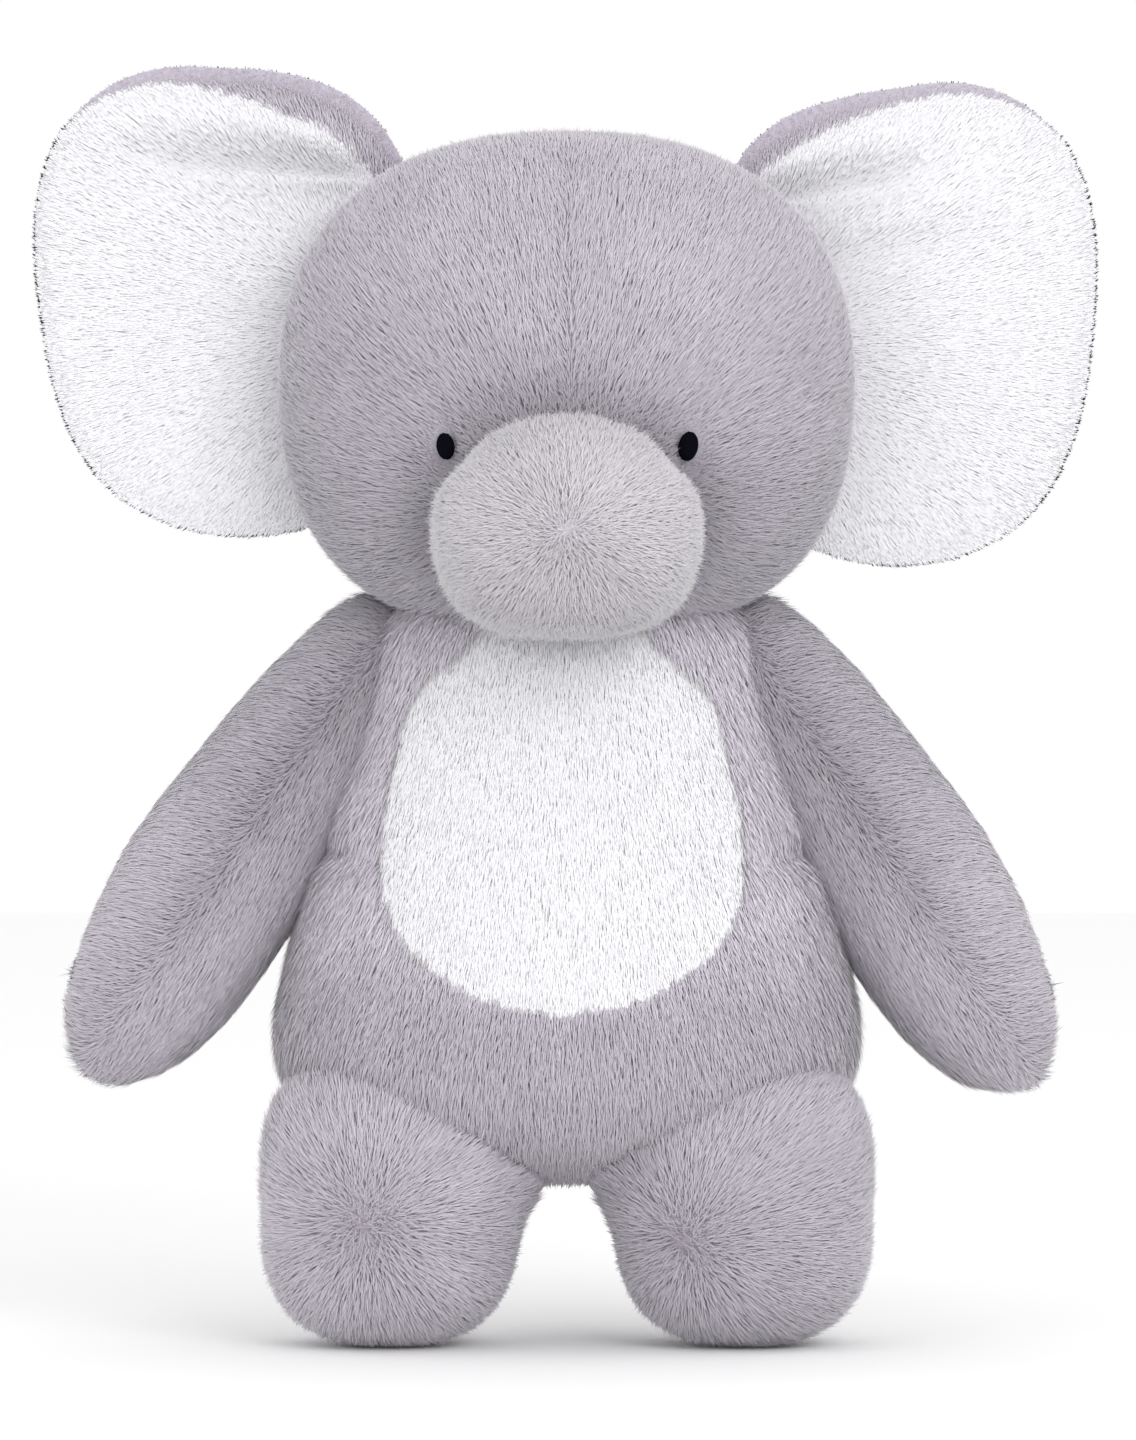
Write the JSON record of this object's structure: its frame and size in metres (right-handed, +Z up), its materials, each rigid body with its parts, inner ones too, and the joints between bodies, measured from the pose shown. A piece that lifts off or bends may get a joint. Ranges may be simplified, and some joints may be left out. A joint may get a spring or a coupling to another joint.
{
  "type": "stuffed elephant toy",
  "caption": "Soft gray plush elephant with big white-lined ears, short pale trunk, white belly, floppy arms and stubby legs.",
  "frame": {"origin": "on the ground under the middle of the toy, from the tip of its trunk to the back of its head", "axes": "+Z up, -Y the way the face looks, +X towards the elephant's own left side"},
  "size_m": [0.2899, 0.165, 0.3513],
  "materials": {
    "gray_plush": "matte",
    "pale_gray_plush": "matte",
    "white_plush": "matte",
    "fibre_filling": "matte",
    "black_thread": "satin",
    "gray_thread": "satin"
  },
  "bodies": {
    "torso": {"body_front_left": "gray_plush", "body_front_right": "gray_plush", "body_back_left": "gray_plush", "body_back_right": "gray_plush", "body_filling": "fibre_filling", "belly_patch": "white_plush", "closing_stitches": "gray_thread"},
    "neck": {"neck_filling": "fibre_filling"},
    "head": {"head_front_left": "gray_plush", "head_front_right": "gray_plush", "head_back_left": "gray_plush", "head_back_right": "gray_plush", "trunk_left": "pale_gray_plush", "trunk_right": "pale_gray_plush", "eye_left": "black_thread", "eye_right": "black_thread", "head_filling": "fibre_filling", "trunk_filling": "fibre_filling"},
    "ear_left": {"ear_left_back": "gray_plush", "ear_left_lining": "white_plush"},
    "arm_left": {"arm_left_front": "gray_plush", "arm_left_back": "gray_plush", "arm_left_filling": "fibre_filling"},
    "leg_left": {"leg_left_front": "gray_plush", "leg_left_back": "gray_plush", "leg_left_filling": "fibre_filling"},
    "ear_right": {"ear_right_back": "gray_plush", "ear_right_lining": "white_plush"},
    "arm_right": {"arm_right_front": "gray_plush", "arm_right_back": "gray_plush", "arm_right_filling": "fibre_filling"},
    "leg_right": {"leg_right_front": "gray_plush", "leg_right_back": "gray_plush", "leg_right_filling": "fibre_filling"}
  },
  "joints": [
    {"name": "head_turn", "type": "hinge", "parent": "torso", "child": "neck", "pos_m": [0, 0.0225, 0.19], "axis": [0, 0, 1], "range_deg": [-17, 17]},
    {"name": "head_nod", "type": "hinge", "parent": "neck", "child": "head", "pos_m": [0, 0.0225, 0.19], "axis": [1, 0, 0], "range_deg": [-8, 8]},
    {"name": "ear_left_flap", "type": "hinge", "parent": "head", "child": "ear_left", "pos_m": [0.064, 0.0285, 0.279], "axis": [0.2855, 0, -0.9584], "range_deg": [-20, 40]},
    {"name": "ear_right_flap", "type": "hinge", "parent": "head", "child": "ear_right", "pos_m": [-0.064, 0.0285, 0.279], "axis": [0.2855, 0, 0.9584], "range_deg": [-20, 40]},
    {"name": "arm_left_raise", "type": "hinge", "parent": "torso", "child": "arm_left", "pos_m": [0.058, 0.0205, 0.184], "axis": [0, -1, 0], "range_deg": [0, 33]},
    {"name": "arm_right_raise", "type": "hinge", "parent": "torso", "child": "arm_right", "pos_m": [-0.058, 0.0205, 0.184], "axis": [0, 1, 0], "range_deg": [0, 33]},
    {"name": "leg_left_swing", "type": "hinge", "parent": "torso", "child": "leg_left", "pos_m": [0.0475, 0.0205, 0.045], "axis": [-1, 0, 0], "range_deg": [-15, 45]},
    {"name": "leg_right_swing", "type": "hinge", "parent": "torso", "child": "leg_right", "pos_m": [-0.0475, 0.0205, 0.045], "axis": [-1, 0, 0], "range_deg": [-15, 45]}
  ]
}
